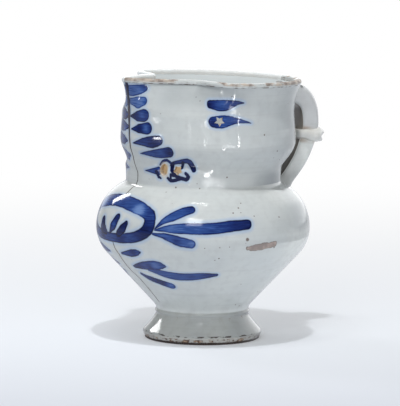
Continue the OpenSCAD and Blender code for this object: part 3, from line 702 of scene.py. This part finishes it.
def wallRadius(angle, z):  # angle from the beak in degrees
    a = abs(angle)
    up = (z - cupZ) / neck["height"]
    pinch = setsIn("lowPinch", up) + setsIn("mouthPinch", up)
    flat = setsIn("flat", up) - setsIn("relief", up)
    valley = 0
    if a < neck["lobe"]:
        side = sqrt(sin(radians(a)) ** 2 + beak["round"] ** 2) - beak["round"]
        fold = 1 / (cos(radians(a)) + beak["slope"] * side)
        valley = (1 - fold) * (1 - ramp(neck["valley"], neck["lobe"], a))
    return cupRadius(z) * (1 - pinch * valley - flat * (1 - ramp(0, neck["front"], a)))


def wallPlan(angle, z):
    return Vector((-cos(radians(angle)), -sin(radians(angle)))) * wallRadius(angle, z)


def wallPoint(angle, z, out, up=0):
    along = wallPlan(angle + 0.5, z) - wallPlan(angle - 0.5, z)
    flat = wallPlan(angle, z) + Vector((along.y, -along.x)).normalized() * out
    slope = max(0, z - cupZ) / neck["height"] * (-flat.x / neck["mouth"]) * neck["rise"] / 2
    return Vector((flat.x, flat.y, z + slope + up)) * mm


def wallAt(z):
    return neck["wall"] + (neck["mouthWall"] - neck["wall"]) * max(0, z - cupZ) / neck["height"]


def cupOutline():
    heights = [cupZ + neck["height"] * i / neck["rows"] for i in range(neck["rows"] + 1)]
    seat = neck["collar"] - neck["seat"] - body["slip"]
    points = [(seat, jointZ - body["lap"]), (seat, jointZ)]
    lows = [jointZ + (cupZ - jointZ) * i / 10 for i in range(10)]
    points += [(cupRadius(z), z) for z in lows]
    points += [(cupRadius(z), z) for z in heights]
    points += [(cupRadius(z) - wallAt(z), z) for z in heights[::-1]]
    inner, bottom = neck["collar"] - neck["wall"], jointZ - body["lap"]
    return points + line((inner, cupZ), (inner, bottom), 6) + [(inner, bottom)]


def pinchBeak(piece):
    for v in piece.data.vertices:
        x, y, z = v.co / mm
        v.co = wallPoint(degrees(atan2(-y, -x)), z, hypot(x, y) - cupRadius(z))
    piece.data.update()


def starRadius(t):
    return 3.4 if round(5 * t / pi) % 2 == 0 else 1.7


def flowerRadius(t):
    return 2.9 * (1 - 0.25 * (1 - cos(5 * t)) / 2)


def roundShape(count, tall, across):  # points round a piercing, from its radius up and across
    turns = [2 * pi * i / count for i in range(count)]
    return [(tall(t) * cos(t), across(t) * sin(t)) for t in turns]


piercings = {  # angle from the beak, height above the collar, and how bare the cut sides are
    "star": {"angle": 69, "up": 33, "bare": 0.7, "points": roundShape(10, starRadius, starRadius)},
    "oval": {"angle": 29, "up": 0.7, "bare": 1.0, "points": roundShape(28, lambda t: 3.7, lambda t: 2.7)},
    "flower": {"angle": 40, "up": 0.7, "bare": 1.0, "points": roundShape(40, flowerRadius, flowerRadius)},
}
# how far from the axis a cut starts and how far it runs, and how near a piercing its cut sides lie
cut = {"from": 40, "length": 28, "nearAngle": 7, "nearUp": 6}


def punch(piercing, side):  # a filled circle shaped to the outline, extruded outwards through the wall
    points = piercing["points"]
    bpy.ops.object.select_all(action="DESELECT")
    bpy.ops.mesh.primitive_circle_add(vertices=len(points), radius=mm, fill_type="NGON")
    cutter = startPiece("cutter")
    turn = radians(180 + side * piercing["angle"])
    outward = Vector((cos(turn), sin(turn), 0))
    across = Vector((-sin(turn), cos(turn), 0))
    for v, (down, over) in zip(cutter.data.vertices, points):
        height = Vector((0, 0, cupZ + piercing["up"] - down))
        v.co = (outward * cut["from"] + across * over * side + height) * mm
    editAll()
    bpy.ops.mesh.extrude_region_move(TRANSFORM_OT_translate={"value": outward * cut["length"] * mm})
    endEdit()
    return cutter


neckCup = turnPiece("neckCup", cupOutline(), neck["steps"])
pinchBeak(neckCup)
cutAway(neckCup, [punch(piercing, side) for piercing in piercings.values() for side in (-1, 1)])


def neckClimbOf(co):
    angle = degrees(atan2(-co.y, -co.x))
    return neckClimb(co.z) if hypot(co.x, co.y) > wallRadius(angle, co.z) - 0.7 else insideClimb


def bareOf(face):  # how bare a cut side is, 0 on the rest
    co = face.center / mm
    angle = degrees(atan2(-co.y, -co.x))
    depth = wallRadius(angle, co.z) - hypot(co.x, co.y)
    for piercing in piercings.values():
        aside, above = abs(abs(angle) - piercing["angle"]), abs(co.z - cupZ - piercing["up"])
        if aside < cut["nearAngle"] and above < cut["nearUp"] and 0.3 < depth < wallAt(co.z) - 0.2:
            return piercing["bare"]
    return 0.0


storeClimb(neckCup, neckClimbOf)
storeValue(neckCup, "bare", [bareOf(face) for face in neckCup.data.polygons], "FACE")
smooth(neckCup, 40)

# band along the mouth: share of its width and height, turned and then pinched like the wall below it
band = {"height": 3.2, "overhang": 0.7,
        "shares": [(0.94, 0), (0.99, 0.12), (1, 0.3), (0.99, 0.55), (0.95, 0.72), (0.87, 0.86), (0.74, 0.95),
                   (0.58, 0.995), (0.42, 0.99), (0.27, 0.93), (0.14, 0.82), (0.05, 0.66), (0.01, 0.48),
                   (0, 0.25), (0, 0)]}
bandWide = neck["mouthWall"] + band["overhang"]
bandIn = neck["mouth"] - neck["mouthWall"]
bandOutline = [(bandIn + across * bandWide, neckTopZ + up * band["height"]) for across, up in band["shares"]]
mouthBand = turnPiece("mouthBand", bandOutline, neck["steps"])
for v in mouthBand.data.vertices:
    x, y, z = v.co / mm
    v.co = wallPoint(degrees(atan2(-y, -x)), neckTopZ, hypot(x, y) - neck["mouth"], z - neckTopZ)
mouthBand.data.update()
smooth(mouthBand, 50)

# handle: two limbs that meet under a strap
handle = {"wide": 14.6, "thick": 14.4, "footThick": 11.4, "reach": 19.4, "drop": 21.2, "gap": 0.3,
          "joint": 21, "landing": 1.1, "lead": 18, "full": 0.08, "outer": 0.8, "inner": 0.3, "sides": 64,
          "rings": 28, "spread": 1.2, "spreadRings": 5, "intoShoulder": 2.5, "intoNeck": 2.0}
handleTopZ = neckTopZ - neck["rise"] / 2 - handle["gap"] - handle["thick"] / 2
archZ = handleTopZ - handle["drop"]
lean = 1 - neck["throat"] * neck["rise"] / (2 * neck["mouth"] * neck["height"])
rootR = cupRadius(cupZ + (handleTopZ - cupZ) / lean)
landAngle = topAngle - (neck["fillet"] + handle["landing"] + handle["footThick"] / 2) / body["upperArc"]


def archPoint(angle):  # degrees up from the widest point
    a = radians(angle)
    full = 1 + (handle["full"] * sin(2 * a) ** 2 if a > 0 else 0)
    return Vector((rootR + full * handle["reach"] * cos(a), archZ + full * handle["drop"] * sin(a)))


def archWay(angle):
    return (archPoint(angle + 0.2) - archPoint(angle - 0.2)).normalized()


jointPoint, jointWay = archPoint(-handle["joint"]), archWay(-handle["joint"])
landWay = Vector((cos(landAngle), sin(landAngle)))
landPoint = Vector(upperPoint(landAngle, 0))


def limbPoint(t):
    a, b = landPoint, landPoint + landWay * handle["lead"]
    c, d = jointPoint - jointWay * handle["lead"], jointPoint
    return a * (1 - t) ** 3 + b * 3 * t * (1 - t) ** 2 + c * 3 * t * t * (1 - t) + d * t ** 3


def limbWay(t):
    return (limbPoint(min(1, t + 0.01)) - limbPoint(max(0, t - 0.01))).normalized()


def sectionShape(turn, thick, wide):  # half sizes; rounded outside, flatter inside
    power = handle["outer"] if cos(turn) > 0 else handle["inner"]
    out, over = ((1 if v > 0 else -1) * abs(v) ** power for v in (cos(turn), sin(turn)))
    return out * thick, over * wide


def placeSection(mid, way, offset):
    return Vector((mid.x + way.y * offset[0], offset[1], mid.y - way.x * offset[0])) * mm


def sweepLimb(name, stations):  # a circle shaped to the section and extruded along the limb
    bpy.ops.object.select_all(action="DESELECT")
    bpy.ops.mesh.primitive_circle_add(vertices=handle["sides"], radius=mm)
    piece = startPiece(name)
    mid, way, thick, wide = stations[0]
    for i, v in enumerate(piece.data.vertices):
        v.co = placeSection(mid, way, sectionShape(2 * pi * i / handle["sides"], thick, wide))
    editAll()
    bpy.ops.mesh.edge_face_add()
    for (mid0, way0, thick0, wide0), (mid1, way1, thick1, wide1) in zip(stations, stations[1:]):
        step = (mid1 - mid0) * mm
        bend = atan2(way1.x, way1.y) - atan2(way0.x, way0.y)
        centre = (mid1.x * mm, 0, mid1.y * mm)
        size = (thick1 / thick0, wide1 / wide0, thick1 / thick0)
        bpy.ops.mesh.extrude_region_move(TRANSFORM_OT_translate={"value": (step.x, 0, step.y)})
        bpy.ops.transform.rotate(value=-bend, orient_axis="Y", center_override=centre)
        bpy.ops.transform.resize(value=size, center_override=centre)
    endEdit()
    return piece


def storeInner(piece, stations):  # 1 on the side that faces the neck, 0 past its rounded edges
    values = []
    for v in piece.data.vertices:
        at = Vector((v.co.x, v.co.z)) / mm
        mid, way, thick, wide = min(stations, key=lambda station: (station[0] - at).length)
        inward = (mid - at).dot(Vector((way.y, -way.x))) / thick
        values.append(ramp(0.9, 0.97, inward))
    storeValue(piece, "inner", values)


rings = handle["rings"]
halfThick, halfWide = handle["thick"] / 2, handle["wide"] / 2
lowerStations = [(landPoint - landWay * handle["intoShoulder"], landWay,
                  handle["footThick"] / 2 + handle["spread"], halfWide + handle["spread"])]
for i in range(rings + 1):
    thick = (handle["footThick"] + (handle["thick"] - handle["footThick"]) * i / rings) / 2
    spread = handle["spread"] * (1 - min(1, i / handle["spreadRings"])) ** 2  # smeared out where it lands
    lowerStations.append((limbPoint(i / rings), limbWay(i / rings), thick + spread, halfWide + spread))
handleLower = sweepLimb("handleLower", lowerStations)
storeInner(handleLower, lowerStations)
smooth(handleLower, 50)
turns = [-handle["joint"] + (90 + handle["joint"]) * i / rings for i in range(rings + 1)]
upperStations = [(archPoint(a), archWay(a), halfThick, halfWide) for a in turns]
upperStations += [(archPoint(90) - Vector((handle["intoNeck"], 0)), archWay(90), halfThick, halfWide)]
handleUpper = sweepLimb("handleUpper", upperStations)

# drinking hole, leaning to the near side
drink = {"angle": 62, "lean": 50, "radius": 1.3, "length": 10, "out": 9}
holeAt, holeWay = archPoint(drink["angle"]), archWay(drink["angle"])
leanOver = radians(drink["lean"])
outward = Vector((holeWay.y * cos(leanOver), -sin(leanOver), -holeWay.x * cos(leanOver)))
bpy.ops.object.select_all(action="DESELECT")
holeMiddle = Vector((holeAt.x, 0, holeAt.y)) + outward * drink["out"]
holeTurn = outward.to_track_quat("Z", "Y").to_euler()
bpy.ops.mesh.primitive_cylinder_add(vertices=32, radius=drink["radius"] * mm, depth=drink["length"] * mm,
                                    location=holeMiddle * mm, rotation=holeTurn)
cutAway(handleUpper, [startPiece("cutter")])
storeInner(handleUpper, upperStations)
smooth(handleUpper, 50)

strap = {"height": 8.2, "thick": 2.8, "fit": 0.3, "edge": 0.55, "climb": 3.4, "nub": 3.4, "sharp": 14,
         "sunk": 0.6, "square": 0.4, "around": 96, "section": 32, "ring": 10, "bead": 2}


def strapAt(s):  # middle and direction, from -1 at the bottom edge to 1 at the top edge
    speed = (archPoint(-handle["joint"] + 0.5) - archPoint(-handle["joint"] - 0.5)).length
    turn = strap["height"] / 2 / speed
    if s >= 0:
        return archPoint(-handle["joint"] + s * turn), archWay(-handle["joint"] + s * turn)
    t = 1 + s * strap["height"] / 2 / (3 * handle["lead"])
    return limbPoint(t), limbWay(t)


bpy.ops.object.select_all(action="DESELECT")
bpy.ops.mesh.primitive_torus_add(major_segments=strap["around"], minor_segments=strap["section"],
                                 major_radius=strap["ring"] * mm, minor_radius=strap["bead"] * mm)
handleStrap = startPiece("handleStrap")
strapClimb = []
for v in handleStrap.data.vertices:
    x, y, z = v.co / mm
    turn, roll = atan2(y, x), atan2(z, hypot(x, y) - strap["ring"])
    s = sin(roll)
    out = -strap["sunk"]
    if cos(roll) > 0:
        nub = max(0, cos(turn)) ** strap["sharp"] * abs(sin(pi * s)) * strap["nub"]
        full = strap["edge"] + (1 - strap["edge"]) * (1 - s * s)
        out = strap["fit"] + (strap["thick"] * full + nub) * cos(roll) ** strap["square"]
    mid, way = strapAt(s + strap["climb"] / strap["height"] * cos(turn))
    v.co = placeSection(mid, way, sectionShape(turn, halfThick + out, halfWide + out))
    strapClimb.append(s)
handleStrap.data.update()
storeValue(handleStrap, "climb", strapClimb)
smooth(handleStrap, 60)
print("all pieces modelled")

bodyGlaze = paintedGlaze("bodyGlaze", bodyStrokes, bodyClimb, bodyRadius, bodyCrack, sprigStrokes,
                         bodyScar, bodySpots)
neckGlaze = paintedGlaze("neckGlaze", neckStrokes, neckClimb, lambda z: neckScale, neckCrack, stemStrokes,
                         bare=True)
lipGlaze, footGlaze, clayGlaze = lipFinish(), footFinish(), clayFinish()
# painted light: the lower limb and the strap get lighter copies of the handle's glaze than the upper limb,
# and the bright values set the strength of the painted edge highlight
upperTint = (rgb(198, 200, 200), rgb(191, 193, 194), rgb(181, 182, 181))
lowerLitTint = (rgb(228, 231, 227), rgb(220, 223, 220), rgb(206, 208, 204))
upperGlaze = handleFinish("upperGlaze", upperTint, jointPoint, jointWay, 0.2)
lowerGlaze = handleFinish("lowerGlaze", lowerLitTint, jointPoint, jointWay, 0.9)
strapGlaze = strapFinish((rgb(222, 222, 217), rgb(214, 214, 210), rgb(200, 198, 192)))

finishPiece(footRing, footGlaze, "foot_glaze", "foot_ring")
finishPiece(footCoil, footGlaze, "foot_glaze", "foot_coil")
finishPiece(lowerBody, bodyGlaze, "glaze", "lower_body")
finishPiece(upperBody, bodyGlaze, "glaze", "shoulder")
finishPiece(neckFillet, bodyGlaze, "glaze", "neck_coil")
finishPiece(neckCup, neckGlaze, "glaze", "neck")
finishPiece(mouthBand, lipGlaze, "lip_glaze", "lip_band")
finishPiece(handleLower, lowerGlaze, "handle_glaze", "handle_lower")
finishPiece(handleUpper, upperGlaze, "handle_glaze", "handle_upper")
finishPiece(handleStrap, strapGlaze, "handle_glaze", "handle_collar")
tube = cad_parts["suction_tube"]
tube.data.materials.clear()
tube.data.materials.append(clayGlaze)

# floor: greyer in front, pale at the jug and white further back
studio = {"size": 40, "floor": rgb(226, 231, 238), "front": rgb(178, 184, 196), "frontEdge": (-0.5, 0.05),
          "white": (-0.15, 0.95), "share": 0.22, "dimEdge": (-0.2, 0.4), "dimLeft": (0.45, 0.47, 0.53, 1),
          "dimRight": (0.95, 0.97, 1, 1), "world": 0.49, "right": 0.5, "dark": 0.13, "bright": 1.9,
          "brightFrom": 122, "tint": (0.97, 0.985, 1.0), "lampsAim": 0.11}
shot = {"azimuth": -31, "away": 2.3, "height": 0.358, "aim": 0.0875, "roll": 0.5, "lens": 316.9, "sensor": 36,
        "aside": 0.00207}
facing = radians(shot["azimuth"])
backWay = (-sin(facing), cos(facing), 0)  # away from the camera
rightWay = (cos(facing), sin(facing), 0)
bpy.ops.object.select_all(action="DESELECT")
bpy.ops.mesh.primitive_plane_add(size=studio["size"])
floor = startPiece("floor")
s = Surface("paleFloor")
depth = s.start.vector("DOT_PRODUCT", s.place, backWay, out=1)
seen = s.tree.nodes.new("ShaderNodeLightPath")
looked = Paint(s.tree, seen.outputs["Is Camera Ray"]).most(Paint(s.tree, seen.outputs["Is Transmission Ray"]))
glossy = Paint(s.tree, seen.outputs["Is Glossy Ray"])
pale = s.tree.nodes.new("ShaderNodeBsdfDiffuse")
ground = depth.ease(*studio["frontEdge"]).blend(studio["front"], studio["floor"])
s.tree.links.new(ground.socket, pale.inputs["Color"])
toRight = s.start.vector("DOT_PRODUCT", s.place, rightWay, out=1).ease(*studio["dimEdge"])
glow = s.tree.nodes.new("ShaderNodeEmission")  # in reflections dim on the left, bright on the right
dim = toRight.blend(studio["dimLeft"], studio["dimRight"])
s.tree.links.new(glossy.blend((1, 1, 1, 1), dim).socket, glow.inputs["Color"])
mix = s.tree.nodes.new("ShaderNodeMixShader")
share = looked * (studio["share"] + (1 - studio["share"]) * depth.ease(*studio["white"]))
share = share.most(glossy)
s.tree.links.new(share.socket, mix.inputs[0])
s.tree.links.new(pale.outputs[0], mix.inputs[1])
s.tree.links.new(glow.outputs[0], mix.inputs[2])
s.tree.links.new(mix.outputs[0], s.tree.nodes.new("ShaderNodeOutputMaterial").inputs["Surface"])
floor.data.materials.append(s.material)

# world: a level wash of light; in reflections dark on the camera's side and bright behind the jug
world = bpy.data.worlds.new("studio")
bpy.context.scene.world = world
world.use_nodes = True
tree = world.node_tree
wash = Paint(tree)
way = wash.add("ShaderNodeTexCoord", out=0)
brightFrom = radians(studio["brightFrom"])
rightBack = (sin(brightFrom), -cos(brightFrom), 0)
behind = wash.vector("DOT_PRODUCT", way, rightBack, out=1).ease(0.4, 1.0)
path = tree.nodes.new("ShaderNodeLightPath")
mirrored = Paint(tree, path.outputs["Is Glossy Ray"])
level = studio["dark"] + (studio["bright"] - studio["dark"]) * behind
aside = wash.vector("DOT_PRODUCT", way, rightWay, out=1).ease(0.0, 0.9)
wide = studio["world"] * (1 - aside * studio["right"])  # less light from the right
level = wide + mirrored * (level - wide)
level = level.most(Paint(tree, path.outputs["Is Camera Ray"]))
tree.nodes["Background"].inputs["Color"].default_value = (*studio["tint"], 1)
tree.links.new(level.socket, tree.nodes["Background"].inputs["Strength"])

# each lamp is at an azimuth, an elevation and a distance from the jug, in degrees and metres; "gives" says
# whether it lights a surface or shows in its gloss, and "on" limits it to some pieces
lamps = {
    "keyLamp": {"at": (-31, 69, 1.4), "size": (0.05, 0.05), "watts": 7.0, "gives": "light"},
    "topSoftbox": {"at": (-49, 70, 1.4), "size": (0.5, 0.18), "watts": 4.5, "gives": "light"},
    "frontSoftbox": {"at": (-41, 30, 1.6), "size": (0.38, 0.7), "watts": 4.0, "gives": "light"},
    "frontFill": {"at": (-5, -2, 1.5), "size": (0.5, 0.1), "watts": 4.0, "gives": "light"},
    "backSoftbox": {"at": (-162, 31, 1.5), "size": (0.35, 0.35), "watts": 3.9, "gives": "light"},
    "floorGlow": {"at": (59, -30, 0.2), "size": (0.3, 0.03), "watts": 0.12,
                  "gives": "light", "on": (lowerBody,)},
    "leftStrip": {"at": (-52, -1, 0.6), "size": (0.005, 0.16), "watts": 0.06,
                  "gives": "shine", "on": (neckCup,)},
    "rightStrip": {"at": (10.5, -1, 0.6), "size": (0.016, 0.1), "watts": 0.14,
                   "gives": "shine", "on": (neckCup,)},
    "sideStrip": {"at": (-92, 0, 0.6), "size": (0.09, 0.018), "watts": 0.16,
                  "gives": "shine", "on": (neckCup,)},
    "sideSpark": {"at": (-84, -19, 0.6), "size": (0.04, 0.04), "watts": 0.15,
                  "gives": "shine", "on": (neckCup,)},
    "collarSpark": {"at": (-25, -14, 0.3), "size": (0.03, 0.022), "watts": 0.07, "twist": 20,
                    "gives": "shine", "on": (neckCup,)},
    "collarGlow": {"at": (-15, -6, 0.6), "size": (0.36, 0.06), "watts": 0.42,
                   "gives": "shine", "on": (neckCup,)},
    "leftFill": {"at": (-125, -8, 0.5), "size": (0.2, 0.05), "watts": 0.42,
                 "gives": "light", "on": (lowerBody,)},
    "shoulderWindow": {"at": (-40, 30, 1.6), "size": (0.45, 0.55), "watts": 6.0,
                       "gives": "shine", "on": (upperBody, lowerBody)},
    "shoulderTop": {"at": (-40, 76, 1.4), "size": (0.3, 0.06), "watts": 1.2,
                    "gives": "shine", "on": (upperBody,)},
    "backWindow": {"at": (-168, 27, 1.5), "size": (0.16, 0.46), "watts": 3.0,
                   "gives": "shine", "on": (upperBody,)},
    "filletWindow": {"at": (-165, 29, 1.5), "size": (0.4, 0.5), "watts": 6.0,
                     "gives": "shine", "on": (neckFillet,)},
    "footWindow": {"at": (-168, 29, 1.5), "size": (0.62, 0.5), "watts": 8.0,
                   "gives": "shine", "on": (footRing, footCoil)},
}
for name, lamp in lamps.items():
    azimuth, elevation, away = lamp["at"]
    a, e = radians(azimuth), radians(elevation)
    back = Vector((sin(a) * cos(e), -cos(a) * cos(e), sin(e)))
    light = bpy.data.lights.new(name, "AREA")
    light.shape, light.energy = "RECTANGLE", lamp["watts"]
    light.size, light.size_y = lamp["size"]
    holder = bpy.data.objects.new(name, light)
    bpy.context.scene.collection.objects.link(holder)
    holder.location = Vector((0, 0, studio["lampsAim"])) + back * away
    aimed = (-back).to_track_quat("-Z", "Y")
    holder.rotation_euler = (aimed @ Quaternion((0, 0, 1), radians(lamp.get("twist", 0)))).to_euler()
    holder.visible_camera = False
    holder.visible_glossy = lamp["gives"] == "shine"
    holder.visible_diffuse = lamp["gives"] == "light"
    if "on" in lamp:
        lit = bpy.data.collections.new(name)
        for piece in lamp["on"]:
            lit.objects.link(piece)
        holder.light_linking.receiver_collection = lit

eye = Vector((sin(facing) * shot["away"], -cos(facing) * shot["away"], shot["height"]))
aim = Vector((0, 0, shot["aim"]))
right = (aim - eye).cross(Vector((0, 0, 1))).normalized()
camera = bpy.data.objects.new("camera", bpy.data.cameras.new("camera"))
bpy.context.scene.collection.objects.link(camera)
camera.data.lens, camera.data.sensor_width = shot["lens"], shot["sensor"]
camera.location = eye - right * shot["aside"]
turned = Quaternion((0, 0, 1), radians(shot["roll"]))
camera.rotation_euler = ((aim - eye).to_track_quat("-Z", "Y") @ turned).to_euler()
bpy.context.scene.camera = camera
bpy.context.scene.view_settings.view_transform = "Standard"
print("studio ready")
